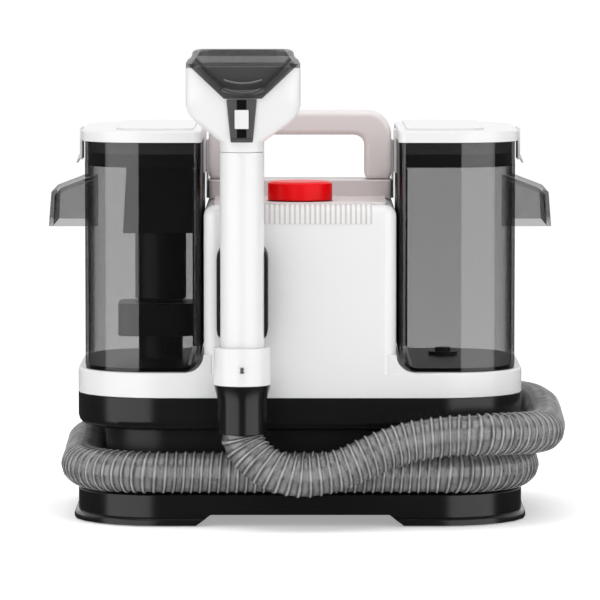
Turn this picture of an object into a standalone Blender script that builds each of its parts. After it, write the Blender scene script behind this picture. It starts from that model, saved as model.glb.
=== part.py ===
"""A portable spot carpet cleaner: two lift-out tanks beside a central tower, a hose wrapped round a
channel above the base, and a hand tool clipped upright to the front.

Blender 4.5. Lengths below are millimetres, turned into metres by MM as each mesh is made.
+Z is up, -Y is the front, +X is to the right as seen from the front. Places are given about the
body's own middle; the whole machine then hangs from one empty that is BODY_Y behind the origin.
"""

import math

import bmesh
import bpy
from mathutils import Vector

MM = 0.001
GAP = 0.3  # the clearance left between pieces that touch

# The body, as a stack of rounded slabs.
BODY_X, BODY_Y_HALF, BODY_R = 180.0, 120.0, 68.0
BASE_LOW, BASE_TOP = 0.8, 25.5
LIP_OUT, LIP_TOP = 3.5, 7.0
ARCH_HALF, ARCH_HALF_FLOOR, ARCH_TOP = 71.6, 84.4, 9.2
CORE_X, CORE_Y, CORE_R = 158.0, 98.0, 50.0
BAND_LOW, BAND_TOP = 76.5, 103.0
DECK_TOP = 123.3
TOWER_X, TOWER_TOP, TOWER_R = 77.0, 257.5, 9.0
TOWER_FILLET = 14.3
WALL = 3.0

# The deck plate on the tower, its raised bridge, the handle and the button.
PLATE_TOP = 259.5
BRIDGE_X, BRIDGE_Y, BRIDGE_TOP = 75.0, 24.0, 273.0
HANDLE_X, HANDLE_Y, HANDLE_TOP = 74.6, 19.0, 329.0
HANDLE_INNER_X, HANDLE_INNER_TOP = 52.9, 309.6
BUTTON_Y, BUTTON_R, BUTTON_LOW, BUTTON_TOP = -81.0, 26.0, 260.0, 275.0
LATCH_THICK = 1.2

# The tanks; x runs from the tower's side out, and the left tank is its mirror image.
TANK_IN, TANK_OUT = 79.2, 173.8
TANK_FRONT, TANK_REAR = -112.0, 86.0
TANK_LOW, TANK_TOP = 123.8, 306.9
TANK_WALL = 2.5
TANK_R_OUT, TANK_R_IN = 49.0, 6.0
PANEL_REACH = 4.6  # how far the black inner panel's face stands off the wall's inside
LID_LOW, LID_TOP = 307.2, 316.5
SEAL_LOW = 287.0
GRIP_Y = (-95.5, 13.0)
GRIP_OUT, GRIP_LOW = 201.6, 239.4
VALVE_X, VALVE_Y = 118.0, 20.0
COLUMN_X, COLUMN_Y = -114.2, -10.0

# The hand tool, upright on its own axis in front of the tower.
TOOL_X, TOOL_Y = -45.9, -144.0
TUBE_R, TUBE_WALL, TUBE_TOP = 17.6, 2.2, 301.2
SLEEVE_R, SLEEVE_LOW, SLEEVE_TOP = 22.5, 116.4, 146.2
COLLAR_LOW, COLLAR_R_LOW, TOOL_BORE = 77.3, 19.4, 14.0
CLIP_LOW, CLIP_TOP, CLIP_R = 146.8, 229.7, 20.3
HEAD_LOW, HEAD_HALF, HEAD_SHOULDER, HEAD_TOP = 301.6, 45.3, 368.4, 383.0
HEAD_FRONT = -172.2  # the foremost point of the machine
HEAD_SHIFT = 1.0  # the head is this much right of the tube
TRIGGER_PIVOT_Y, TRIGGER_PIVOT_Z = -123.5, 296.0

# The hose and the port it ends in.
HOSE_R = 17.0
PORT_Y, PORT_Z, PORT_R = 116.2, 43.5, 17.6
PORT_LEFT, PORT_RIGHT = 60.0, 96.0
CUFF_RIGHT = 118.0

# The origin stands midway between the tool's front and the port's rear.
BODY_Y = -(HEAD_FRONT + PORT_Y + PORT_R) / 2

# The hose's own route, from the tool's collar round the channel to the port.
HOSE_ROUTE = (
    (-45.9, -144.0, 77.0),
    (-45.9, -144.0, 73.4),
    (-43.4, -145.3, 67.0),
    (-37.8, -147.9, 60.0),
    (-28.8, -151.0, 52.8),
    (-15.0, -153.2, 46.4),
    (1.3, -153.6, 43.6),
    (18.0, -153.0, 45.7),
    (37.0, -150.6, 51.0),
    (60.0, -146.2, 61.2),
    (86.0, -140.8, 69.8),
    (116.0, -138.2, 74.2),
    (145.0, -136.0, 75.6),
    (174.0, -118.0, 74.8),
    (192.5, -90.0, 73.4),
    (198.4, -55.0, 73.6),
    (199.2, 0.0, 77.0),
    (198.4, 50.0, 79.6),
    (186.2, 97.4, 80.4),
    (154.2, 128.2, 79.6),
    (112.0, 139.6, 77.2),
    (70.0, 141.0, 73.6),
    (25.0, 138.4, 68.4),
    (-25.0, 131.4, 61.6),
    (-75.0, 122.4, 56.0),
    (-122.6, 116.0, 53.6),
    (-157.0, 98.4, 52.0),
    (-174.8, 68.0, 50.8),
    (-176.8, 30.0, 49.2),
    (-176.6, -20.0, 45.6),
    (-175.9, -62.0, 43.6),
    (-159.4, -96.0, 43.2),
    (-125.6, -116.2, 43.2),
    (-80.0, -116.6, 43.2),
    (0.0, -116.2, 43.2),
    (80.0, -116.4, 43.2),
    (125.6, -116.2, 43.2),
    (159.6, -96.0, 43.2),
    (176.0, -61.0, 43.2),
    (177.0, -10.0, 43.2),
    (176.6, 52.0, 43.3),
    (164.8, 91.4, 43.4),
    (147.0, 109.0, 43.5),
    (131.0, 115.4, 43.5),
    (123.0, PORT_Y, PORT_Z),
    (CUFF_RIGHT + GAP, PORT_Y, PORT_Z),
)
HOSE_STEP = 22.0

MACHINE = "carpet_cleaner"
CUTTERS = "cutters"


def clear_scene():
    for obj in list(bpy.data.objects):
        bpy.data.objects.remove(obj, do_unlink=True)


def new_collection(name, cutters=False):
    collection = bpy.data.collections.new(name)
    bpy.context.scene.collection.children.link(collection)
    collection.hide_render = cutters
    return collection


def material(name, colour, roughness=0.45, metallic=0.0, alpha=1.0):
    """A plain Principled material; one with this name that is already made is used again."""
    found = bpy.data.materials.get(name)
    if found:
        return found
    made = bpy.data.materials.new(name)
    made.use_nodes = True
    shader = made.node_tree.nodes["Principled BSDF"]
    shader.inputs["Base Color"].default_value = (*colour, 1.0)
    shader.inputs["Roughness"].default_value = roughness
    shader.inputs["Metallic"].default_value = metallic
    shader.inputs["Alpha"].default_value = alpha
    return made


def white():
    return material("white_plastic", (0.86, 0.86, 0.86), 0.3)


def black():
    return material("black_plastic", (0.03, 0.03, 0.033), 0.35)


def grey():
    return material("grey_plastic", (0.5, 0.48, 0.48), 0.35)


def red():
    return material("red_plastic", (0.8, 0.0, 0.008), 0.3)


def smoke():
    return material("smoke_clear", (0.25, 0.25, 0.26), 0.1, alpha=0.4)


def rubber():
    return material("rubber", (0.04, 0.04, 0.04), 0.8)


def steel():
    return material("steel", (0.7, 0.7, 0.72), 0.25, 1.0)


def hose_vinyl():
    return material("hose_vinyl", (0.35, 0.35, 0.36), 0.25, alpha=0.7)


def board_green():
    return material("board_green", (0.02, 0.12, 0.05), 0.5)


def place(obj, origin, cutter=False):
    """Puts an object at its place about the body's middle, in the machine's or the cutters' collection."""
    obj.parent = bpy.data.objects["machine"]
    obj.location = Vector(origin) * MM
    bpy.data.collections[CUTTERS if cutter else MACHINE].objects.link(obj)
    if cutter:
        obj.hide_render = True
        obj.display_type = "WIRE"
    return obj


def mesh_object(name, bm, finish, origin, cutter=False):
    """An object from a mesh drawn in millimetres about the body's middle, with its own origin."""
    bmesh.ops.translate(bm, verts=bm.verts, vec=-Vector(origin))
    bmesh.ops.scale(bm, verts=bm.verts, vec=(MM, MM, MM))
    bmesh.ops.recalc_face_normals(bm, faces=bm.faces)
    mesh = bpy.data.meshes.new(name)
    bm.to_mesh(mesh)
    bm.free()
    mesh.shade_smooth()
    mesh.set_sharp_from_angle(angle=math.radians(35))
    if finish:
        mesh.materials.append(finish)
    return place(bpy.data.objects.new(name, mesh), origin, cutter)


def straight_edges(bm, along, near):
    """A box's edges along one axis, X 0, Y 1 or Z 2, that stand at the corner signs given in near."""
    across = [axis for axis in range(3) if axis != along]
    middle = [sum(f(v.co[axis] for v in bm.verts) for f in (min, max)) / 2 for axis in range(3)]
    found = []
    for edge in bm.edges:
        a, b = (v.co for v in edge.verts)
        if any(abs(a[axis] - b[axis]) > 1e-4 for axis in across):
            continue
        if all((a[axis] - middle[axis]) * sign > 0 for axis, sign in zip(across, near)):
            found.append(edge)
    return found


def round_edges(bm, edges, radius, segments):
    bmesh.ops.bevel(
        bm, geom=edges, offset=radius, segments=segments, profile=0.5, affect="EDGES", clamp_overlap=False
    )


def rim_edges(bm, height):
    return [e for e in bm.edges if all(abs(v.co.z - height) < 1e-4 for v in e.verts)]


def block(
    name, low, high, finish=None, corners=0.0, rims=(0.0, 0.0), segments=6, side=1, origin=None, rim_steps=3
):
    """A box with rounded upright corners and rims.

    corners is one radius, or two, for the corners towards -x and towards +x. rims is the radius of
    the bottom and of the top edge. A side of -1 makes the mirror image. No finish makes a cutter.
    """
    bm = bmesh.new()
    bmesh.ops.create_cube(bm, size=1.0)
    size = [high[i] - low[i] for i in range(3)]
    middle = [(high[i] + low[i]) / 2 for i in range(3)]
    bmesh.ops.scale(bm, verts=bm.verts, vec=size)
    bmesh.ops.translate(bm, verts=bm.verts, vec=middle)
    inner, outer = corners if isinstance(corners, tuple) else (corners, corners)
    for radius, sign in ((inner, -1), (outer, 1)):
        if radius:
            for depth in (-1, 1):
                round_edges(bm, straight_edges(bm, 2, (sign, depth)), radius, segments)
    for radius, height in ((rims[0], low[2]), (rims[1], high[2])):
        if radius:
            round_edges(bm, rim_edges(bm, height), radius, rim_steps)
    if side < 0:
        bmesh.ops.scale(bm, verts=bm.verts, vec=(-1, 1, 1))
        middle[0] = -middle[0]
    return mesh_object(name, bm, finish, origin or middle, cutter=finish is None)


def cross_block(name, low, high, finish, along, radii, segments=5):
    """A box whose edges along one axis are rounded, with one radius for each pair of corner signs."""
    bm = bmesh.new()
    bmesh.ops.create_cube(bm, size=1.0)
    middle = [(high[i] + low[i]) / 2 for i in range(3)]
    bmesh.ops.scale(bm, verts=bm.verts, vec=[high[i] - low[i] for i in range(3)])
    bmesh.ops.translate(bm, verts=bm.verts, vec=middle)
    for near, radius in radii.items():
        round_edges(bm, straight_edges(bm, along, near), radius, segments)
    return mesh_object(name, bm, finish, middle, cutter=finish is None)


def turned(name, profile, centre, finish=None, steps=28, closed=False, turn=(0.0, 0.0, 0.0)):
    """A turned piece: its profile is (radius, height) points, down its outer side from the top."""
    mesh = bpy.data.meshes.new(name)
    points = [(radius * MM, 0.0, height * MM) for radius, height in profile]
    edges = [(i, i + 1) for i in range(len(points) - 1)]
    if closed:
        edges.append((len(points) - 1, 0))
    mesh.from_pydata(points, edges, [])
    if finish:
        mesh.materials.append(finish)
    obj = place(bpy.data.objects.new(name, mesh), centre, cutter=finish is None)
    obj.rotation_euler = turn
    screw = obj.modifiers.new("Turn", "SCREW")
    screw.steps = steps
    screw.render_steps = steps
    screw.use_merge_vertices = True
    screw.merge_threshold = 0.00002
    return obj


def rod(name, radius, bottom, top, centre, finish=None, steps=24, turn=(0.0, 0.0, 0.0)):
    """A plain cylinder from bottom to top along its own axis."""
    profile = ((0.0, top), (radius, top), (radius, bottom), (0.0, bottom))
    return turned(name, profile, centre, finish, steps, turn=turn)


def ring_of(height, middle, half, power, count=40):
    """The points of one level outline, between an ellipse (power 2) and a rectangle (a high power)."""
    points = []
    for i in range(count):
        angle = 2 * math.pi * i / count
        c, s = math.cos(angle), math.sin(angle)
        x = middle[0] + half[0] * math.copysign(abs(c) ** (2 / power), c)
        y = middle[1] + half[1] * math.copysign(abs(s) ** (2 / power), s)
        points.append((x, y, height))
    return points


def loft(name, rings, finish=None, tube=False):
    """A skin through level outlines with the same count of points. A tube's last ring meets its first."""
    bm = bmesh.new()
    rows = [[bm.verts.new(point) for point in ring] for ring in rings]
    pairs = list(zip(rows, rows[1:]))
    if tube:
        pairs.append((rows[-1], rows[0]))
    for lower, upper in pairs:
        for i, vert in enumerate(lower):
            after = (i + 1) % len(lower)
            bm.faces.new((vert, lower[after], upper[after], upper[i]))
    if not tube:
        bm.faces.new(reversed(rows[0]))
        bm.faces.new(rows[-1])
    middle = sum((v.co for v in bm.verts), Vector()) / len(bm.verts)
    return mesh_object(name, bm, finish, middle, cutter=finish is None)


def shaped_block(name, low, high, finish, move, side=1):
    """A box whose eight corners are then moved by a function of (x, y, z)."""
    bm = bmesh.new()
    bmesh.ops.create_cube(bm, size=1.0)
    bmesh.ops.scale(bm, verts=bm.verts, vec=[high[i] - low[i] for i in range(3)])
    bmesh.ops.translate(bm, verts=bm.verts, vec=[(high[i] + low[i]) / 2 for i in range(3)])
    for vert in bm.verts:
        vert.co = move(*vert.co)
    bmesh.ops.scale(bm, verts=bm.verts, vec=(side, 1, 1))
    middle = sum((v.co for v in bm.verts), Vector()) / len(bm.verts)
    return mesh_object(name, bm, finish, middle, cutter=finish is None)


def smooth_route(points, step):
    """Points about every step along a smooth curve through the route's own points."""
    route = [Vector(p) for p in points]
    route = [2 * route[0] - route[1], *route, 2 * route[-1] - route[-2]]
    smooth = [route[1]]
    for p0, p1, p2, p3 in zip(route, route[1:], route[2:], route[3:]):
        pieces = max(1, round((p2 - p1).length / step))
        for i in range(1, pieces + 1):
            t = i / pieces
            curve = 2 * p1 + (p2 - p0) * t + (2 * p0 - 5 * p1 + 4 * p2 - p3) * t**2
            smooth.append((curve + (3 * p1 - p0 - 3 * p2 + p3) * t**3) / 2)
    return smooth


def pipe(name, points, radius, finish, resolution=2):
    """A round pipe along a line of points, with flat ends."""
    curve = bpy.data.curves.new(name, "CURVE")
    curve.dimensions = "3D"
    curve.bevel_depth = radius * MM
    curve.bevel_resolution = resolution
    curve.use_fill_caps = True
    spline = curve.splines.new("POLY")
    spline.points.add(len(points) - 1)
    for point, place_mm in zip(spline.points, points):
        point.co = (*(Vector(place_mm) * MM), 1.0)
    curve.materials.append(finish)
    return place(bpy.data.objects.new(name, curve), (0.0, 0.0, 0.0))


def combine(target, tool, operation):
    modifier = target.modifiers.new(operation.title(), "BOOLEAN")
    modifier.operation = operation
    modifier.solver = "EXACT"
    modifier.object = tool
    return target


def carve(target, *tools):
    for tool in tools:
        combine(target, tool, "DIFFERENCE")
    return target


def fuse(target, *tools):
    for tool in tools:
        combine(target, tool, "UNION")
    return target


def body_slab(name, bottom, top, finish=None, inset=0.0, rims=(0.0, 0.0)):
    """A slab of the body's own rounded outline, drawn in by inset."""
    half_x, half_y, radius = BODY_X - inset, BODY_Y_HALF - inset, BODY_R - inset
    return block(name, (-half_x, -half_y, bottom), (half_x, half_y, top), finish, radius, rims)


def base_tray():
    tray = body_slab("base_tray", BASE_LOW, BASE_TOP, black(), rims=(0.0, 1.5))
    fuse(tray, body_slab("base_lip", BASE_LOW, LIP_TOP, inset=-LIP_OUT, rims=(0.0, 3.0)))
    arch_low = -20.0
    spread = (ARCH_HALF_FLOOR - ARCH_HALF) * (ARCH_TOP - arch_low) / ARCH_TOP

    def splay(x, y, z):
        return (x + math.copysign(spread, x) if z < 0 else x, y, z)

    arch = shaped_block("base_arch", (-ARCH_HALF, -140, arch_low), (ARCH_HALF, 140, ARCH_TOP), None, splay)
    ledge = 8.0  # the solid rim that the hose rests on reaches this far inside the core
    well_x, well_y = CORE_X - ledge, CORE_Y - ledge
    well_low, well_high = (-well_x, -well_y, ARCH_TOP + WALL), (well_x, well_y, BASE_TOP + 10)
    hollow = block("base_hollow", well_low, well_high, corners=CORE_R - ledge)
    carve(tray, arch, hollow)
    for number, (x, y) in enumerate(((-130, -84), (130, -84), (130, 84), (-130, 84)), 1):
        carve(tray, rod(f"foot_pocket_{number}", 11.5, -1.0, 3.5, (x, y, 0.0)))
        foot = ((0.0, 3.2), (11.0, 3.2), (11.0, 0.8), (10.2, 0.0), (0.0, 0.0))
        turned(f"rubber_foot_{number}", foot, (x, y, 0.0), rubber(), 20)


def channel_core():
    """The inset wall that the hose lies against."""
    low, high = BASE_TOP + GAP, BAND_LOW - GAP
    core = block("channel_core", (-CORE_X, -CORE_Y, low), (CORE_X, CORE_Y, high), black(), CORE_R)
    inner_x, inner_y = CORE_X - WALL, CORE_Y - WALL
    hollow = block("core_hollow", (-inner_x, -inner_y, 0), (inner_x, inner_y, 90), corners=CORE_R - WALL)
    port_x = (PORT_LEFT + PORT_RIGHT) / 2
    passage = rod("core_passage", 12.5, -10.0, 10.0, (port_x, CORE_Y, PORT_Z), turn=(math.pi / 2, 0, 0))
    carve(core, hollow, passage)


def chassis_tray():
    tray = body_slab("chassis_tray", BAND_LOW, BAND_TOP, black(), rims=(8.0, 0.0))
    carve(tray, body_slab("tray_hollow", BAND_LOW + 3.5, BAND_TOP + 10, inset=WALL))
    carve(tray, rod("tray_duct_hole", 14.0, 60.0, 90.0, (-VALVE_X, VALVE_Y, 0.0)))
    carve(tray, block("tray_air_hole", (-50, -40, 60), (50, 60, 90), corners=10.0))


def main_housing():
    """The white shell: the ring over the chassis, and the tower, whose roots flare into the deck."""
    shell = body_slab("main_housing", BAND_TOP + GAP, DECK_TOP, white(), rims=(0.0, 2.0))
    step = 0.15  # keeps the joined blocks' faces from lying in one plane
    front, rear = -BODY_Y_HALF + step, BODY_Y_HALF - step
    tower = block(
        "tower",
        (-TOWER_X, front, 110),
        (TOWER_X, rear, TOWER_TOP),
        corners=TOWER_R + 1.0,
        rims=(0.0, TOWER_R),
        segments=5,
        rim_steps=5,
    )
    fuse(shell, tower)
    for side in (-1, 1):
        x_out = TOWER_X + TOWER_FILLET
        root_low = (TOWER_X - 6, front + step, 115)
        root = block(f"fillet_{side}", root_low, (x_out, rear - step, DECK_TOP + TOWER_FILLET), side=side)
        centre = (side * x_out, 0.0, DECK_TOP + TOWER_FILLET)
        scoop_r = TOWER_FILLET - step
        carve(root, rod(f"scoop_{side}", scoop_r, -130, 130, centre, steps=32, turn=(math.pi / 2, 0, 0)))
        fuse(shell, root)
    carve(shell, body_slab("ring_hollow", 90, DECK_TOP - WALL, inset=WALL))
    inner = TOWER_X - WALL
    hollow_low, hollow_high = (-inner, front + WALL, 100), (inner, rear - WALL, TOWER_TOP - WALL)
    carve(shell, block("tower_hollow", hollow_low, hollow_high, corners=7.5, rims=(0.0, 6.0), segments=4))
    carve(shell, block("top_opening", (-70, -112, 240), (70, 112, 270), corners=8.0, segments=3))
    carve(shell, block("rear_opening", (-62, 100, 128), (62, 130, 244)))
    carve(shell, block("grille_opening", (-57, -130, 242.7), (57, -110, 252.3)))
    clip_gap = CLIP_R + GAP
    opening = cross_block(
        "cradle_opening",
        (TOOL_X - clip_gap, -130, CLIP_LOW - GAP),
        (TOOL_X + clip_gap, -110, CLIP_TOP + GAP),
        None,
        1,
        {(-1, 1): 14.0, (1, 1): 14.0, (-1, -1): 14.0, (1, -1): 14.0},
    )
    carve(shell, opening)
    carve(shell, rod("duct_hole", 14.0, 110, 140, (-VALVE_X, VALVE_Y, 0.0)))
    carve(shell, rod("valve_hole", 10.0, 110, 140, (VALVE_X, VALVE_Y, 0.0)))


def rear_cover():
    cover = block("rear_cover", (-61.7, 117.0, 128.3), (61.7, 119.6, 243.7), white())
    for row in range(6):
        z = 150.0 + 12.0 * row
        carve(cover, block(f"cover_slot_{row}", (-34, 110, z), (34, 125, z + 4.5)))
    screw = ((0.0, 3.0), (3.2, 2.4), (3.2, 0.9), (1.6, 0.9), (1.6, -6.0), (0.0, -6.0))
    for number, z in enumerate((134.5, 237.5), 1):
        carve(cover, rod(f"cover_hole_{number}", 2.0, -10, 10, (0, 118, z), turn=(math.pi / 2, 0, 0)))
        turned(f"rear_screw_{number}", screw, (0, 119.0, z), steel(), 16, turn=(-math.pi / 2, 0, 0))


def vent_grille():
    grille = block("vent_grille", (-56.7, -119.9, 243.0), (56.7, -117.4, 252.0), white())
    pitch, count = 4.06, 26
    for i in range(count):
        x = (i - (count - 1) / 2) * pitch
        carve(grille, block(f"grille_slot_{i}", (x - 0.9, -125, 244.4), (x + 0.9, -110, 250.6)))


def top_deck():
    low = TOWER_TOP - WALL
    deck = block("top_deck", (-69.7, -111.7, low), (69.7, 111.7, PLATE_TOP), grey(), 7.7, (0, 1.0), 3)
    bridge = block(
        "bridge",
        (-BRIDGE_X, -BRIDGE_Y, TOWER_TOP + GAP),
        (BRIDGE_X, BRIDGE_Y, BRIDGE_TOP),
        corners=4.0,
        rims=(0.0, 1.0),
        segments=3,
    )
    fuse(deck, bridge)
    carve(deck, rod("button_hole", BUTTON_R + 0.6, 240, 262, (0, BUTTON_Y, 0), steps=40))


def carry_handle():
    top_corners = {(-1, 1): 19.0, (1, 1): 19.0}
    low = BRIDGE_TOP + GAP
    handle = cross_block(
        "carry_handle", (-HANDLE_X, -HANDLE_Y, low), (HANDLE_X, HANDLE_Y, HANDLE_TOP), white(), 1, top_corners, 7
    )
    window = cross_block(
        "handle_window",
        (-HANDLE_INNER_X, -40, low - 20),
        (HANDLE_INNER_X, 40, HANDLE_INNER_TOP),
        None,
        1,
        {(-1, 1): 9.0, (1, 1): 9.0},
    )
    carve(handle, window)


def power_button():
    """The button with its stem, the spring under it, the bracket that carries them and the switch."""
    r, low, top = BUTTON_R, BUTTON_LOW, BUTTON_TOP
    profile = ((0, top), (r - 3, top), (r, top - 1.5), (r, low), (8, low), (8, 246), (0, 246))
    turned("power_button", profile, (0, BUTTON_Y, 0), red(), 40)
    bracket = block("switch_bracket", (-73.7, -116.5, 236.0), (73.7, -44.0, 239.0), black(), (8.0, 8.0), segments=4)
    carve(bracket, rod("stem_hole", 9.0, 230, 250, (0, BUTTON_Y, 0)))
    block("power_switch", (-14, BUTTON_Y - 10, 214.0), (14, BUTTON_Y + 10, 235.7), black())
    turns, per_turn, radius, wire = 4, 10, 11.0, 0.7
    bottom, rise = 239.0 + GAP + wire, BUTTON_LOW - 239.0 - 2 * GAP - 2 * wire
    count = turns * per_turn
    coil = []
    for i in range(count + 1):
        angle = 2 * math.pi * i / per_turn
        height = bottom + rise * i / count
        coil.append((radius * math.cos(angle), BUTTON_Y + radius * math.sin(angle), height))
    pipe("button_spring", coil, wire, steel(), 2)


def tool_cradle():
    """The clip that holds the tool's tube: a plate in the tower's front with two straight arms."""
    centre_low, centre_high = TOOL_X - CLIP_R, TOOL_X + CLIP_R
    corners = {(-1, 1): 13.7, (1, 1): 13.7, (-1, -1): 13.7, (1, -1): 13.7}
    cradle = cross_block(
        "tool_cradle", (centre_low, -147.0, CLIP_LOW), (centre_high, -117.3, CLIP_TOP), black(), 1, corners
    )
    slot = TUBE_R + 0.5
    mouth = block("cradle_mouth", (TOOL_X - slot, -160, 130), (TOOL_X + slot, -119.3, 240))
    carve(cradle, mouth)


def suction_unit():
    """The motor, its mount, the fan and the fan's housing, on one upright axis inside the tower."""
    axis = (0.0, 20.0, 0.0)
    can = ((0, 215), (36, 215), (42, 209), (42, 150), (0, 150))
    turned("suction_motor", can, axis, steel(), 28)
    mount = block("motor_mount", (-73.7, -38, 143.0), (73.7, 80, 149.7), black())
    carve(mount, rod("mount_vent", 20.0, 130, 160, axis))
    rotor = ((0, 232), (9, 232), (9, 230), (36, 227), (36, 222), (4, 222), (4, 215.3), (0, 215.3))
    turned("fan_impeller", rotor, axis, material("fan_white", (0.6, 0.6, 0.62), 0.5), 28)
    volute = (
        (14, 239), (46, 239), (46, 216.5), (5, 216.5), (5, 219), (43.5, 219), (43.5, 236.5), (14, 236.5),
    )
    turned("fan_housing", volute, axis, black(), 28, closed=True)


def water_parts():
    """The pump and the line that feeds it from the clean tank's valve."""
    pump = block("water_pump", (20, -104, 150), (64, -66, 190), black(), 4.0, segments=2)
    fuse(pump, rod("pump_outlet", 4.0, 185, 202, (32, -85, 0), steps=16))
    line = ((VALVE_X, VALVE_Y, 108), (VALVE_X - 4, VALVE_Y - 4, 101), (104, 0, 97), (78, -40, 97))
    line += ((54, -74, 99), (46, -85, 108), (45, -86, 128), (45, -86, 149.7))
    pipe("water_line", smooth_route(line, 12.0), 3.0, rubber(), 2)


def control_board():
    block("control_board", (-58, 106.0, 152), (58, 107.6, 232), board_green())


def suction_duct():
    """The pipe inside the core from the hose port to the dirty tank's foot."""
    port_x = (PORT_LEFT + PORT_RIGHT) / 2
    route = ((port_x, CORE_Y - WALL - GAP, PORT_Z), (port_x, 78, PORT_Z), (56, 52, PORT_Z), (10, 36, PORT_Z))
    route += ((-50, 28, 44), (-90, 22, 46), (-114, VALVE_Y, 58), (-VALVE_X, VALVE_Y, 74))
    route += ((-VALVE_X, VALVE_Y, 98), (-VALVE_X, VALVE_Y, 123.4))
    pipe("suction_duct", smooth_route(route, 16.0), 12.0, black(), 3)


def hose_port():
    """The elbow on the channel's wall that the hose's cuff pushes onto, hollow from its mouth to the wall."""
    turn = (0.0, math.pi / 2, 0.0)
    port_x = (PORT_LEFT + PORT_RIGHT) / 2
    port = rod("hose_port", PORT_R, PORT_LEFT, PORT_RIGHT, (0, PORT_Y, PORT_Z), black(), 28, turn)
    neck = block("port_neck", (port_x - 15, CORE_Y + GAP, PORT_Z - 15), (port_x + 15, PORT_Y, PORT_Z + 15))
    fuse(port, neck)
    bore = rod("port_bore", 13.0, PORT_LEFT + 4, PORT_RIGHT + 9, (0, PORT_Y, PORT_Z), steps=24, turn=turn)
    elbow = rod(
        "port_elbow", 11.0, -PORT_Y, -CORE_Y + 9, (port_x, 0, PORT_Z), steps=24, turn=(math.pi / 2, 0, 0)
    )
    carve(port, bore, elbow)
    ring = ((17.7, 0), (17.7, -21.6), (13, -21.6), (13, 0))
    cuff = turned("hose_cuff", ring, (PORT_RIGHT + GAP, PORT_Y, PORT_Z), rubber(), 28, True)
    cuff.rotation_euler = (0.0, -math.pi / 2, 0.0)


def cord_gland():
    """The mains inlet's gland, low on the rear of the housing."""
    profile = ((0, 8), (5, 8), (6.5, 4), (9, 3), (9, 0.3), (0, 0.3))
    turned("cord_gland", profile, (-60, BODY_Y_HALF, 111), black(), 20, turn=(-math.pi / 2, 0, 0))


def tank_latches():
    """A sprung steel strip on each side of the bridge that keeps its tank from rattling."""
    for side, name in ((1, "tank_latch_right"), (-1, "tank_latch_left")):
        low, high = (BRIDGE_X + GAP, -16, TOWER_TOP + GAP), (BRIDGE_X + GAP + LATCH_THICK, 16, 305.0)
        block(name, low, high, steel(), side=side)


def tank(prefix, side):
    """One clear tank with its finger grip and its inner panel; side is 1 on the right."""
    corners = (TANK_R_IN, TANK_R_OUT)
    low, high = (TANK_IN, TANK_FRONT, TANK_LOW), (TANK_OUT, TANK_REAR, TANK_TOP)
    shell = block(f"{prefix}_tank", low, high, smoke(), corners, segments=6, side=side)
    inner_low = (TANK_IN + TANK_WALL, TANK_FRONT + TANK_WALL, TANK_LOW + TANK_WALL)
    inner_high = (TANK_OUT - TANK_WALL, TANK_REAR - TANK_WALL, TANK_TOP + 10)
    inner_corners = (TANK_R_IN - TANK_WALL, TANK_R_OUT - TANK_WALL)
    carve(shell, block(f"{prefix}_hollow", inner_low, inner_high, corners=inner_corners, side=side))
    reach = 16.0
    root = block(
        f"{prefix}_root", (TANK_IN - 5, -140, TANK_LOW - 5), (TANK_IN + reach, 140, TANK_LOW + reach), side=side
    )
    centre = (side * (TANK_IN + reach), 0.0, TANK_LOW + reach)
    carve(root, rod(f"{prefix}_curve", reach, -150, 150, centre, steps=32, turn=(math.pi / 2, 0, 0)))
    foot = block(
        f"{prefix}_foot",
        (TANK_IN + 0.5, TANK_FRONT + 1, TANK_LOW + 0.5),
        (TANK_IN + reach, TANK_REAR - 1, TANK_LOW + reach),
        side=side,
    )
    carve(foot, rod(f"{prefix}_dish", reach - TANK_WALL, -150, 150, centre, steps=32, turn=(math.pi / 2, 0, 0)))
    combine(foot, block(f"{prefix}_plan", low, high, corners=corners, side=side), "INTERSECT")
    fuse(shell, foot)
    carve(shell, root)
    carve(shell, rod(f"{prefix}_floor_hole", 8.0 if side > 0 else 13.5, 110, 130, (side * VALVE_X, VALVE_Y, 0)))
    grip(prefix, side)
    panel_low = (TANK_IN + TANK_WALL + GAP, TANK_FRONT + 18, TANK_LOW + 19)
    panel_high = (TANK_IN + TANK_WALL + PANEL_REACH, TANK_REAR - 18, SEAL_LOW - 1.5)
    block(f"{prefix}_tank_panel", panel_low, panel_high, black(), side=side)


def grip(prefix, side):
    """The hood round a tank's outer front corner that fingers reach up into, open below."""
    root_x, root_top, outer_top = 150.0, 286.2, 267.3
    lean = 2.2  # the outer wall stands this much further out at its foot

    def slope(thick):
        def move(x, y, z):
            upper = z > GRIP_LOW
            if x < root_x + 1:
                return (x, y, root_top - thick if upper else z)
            return (GRIP_OUT - thick - (lean if upper else 0.0), y, outer_top - thick if upper else z)

        return move

    hood_low, hood_high = (root_x, GRIP_Y[0], GRIP_LOW), (GRIP_OUT, GRIP_Y[1], root_top)
    hood = shaped_block(f"{prefix}_tank_grip", hood_low, hood_high, smoke(), slope(0.0), side)
    t = TANK_WALL
    inner_low = (root_x - 3, GRIP_Y[0] + t, GRIP_LOW - 20)
    inner_high = (GRIP_OUT, GRIP_Y[1] - t, root_top)
    carve(hood, shaped_block(f"{prefix}_grip_hollow", inner_low, inner_high, None, slope(t), side))
    seat_low = (TANK_IN, TANK_FRONT - GAP, TANK_LOW)
    seat_high = (TANK_OUT + GAP, TANK_REAR + GAP, LID_TOP)
    carve(hood, block(f"{prefix}_grip_seat", seat_low, seat_high, corners=(4.0, TANK_R_OUT + GAP), side=side))


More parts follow.
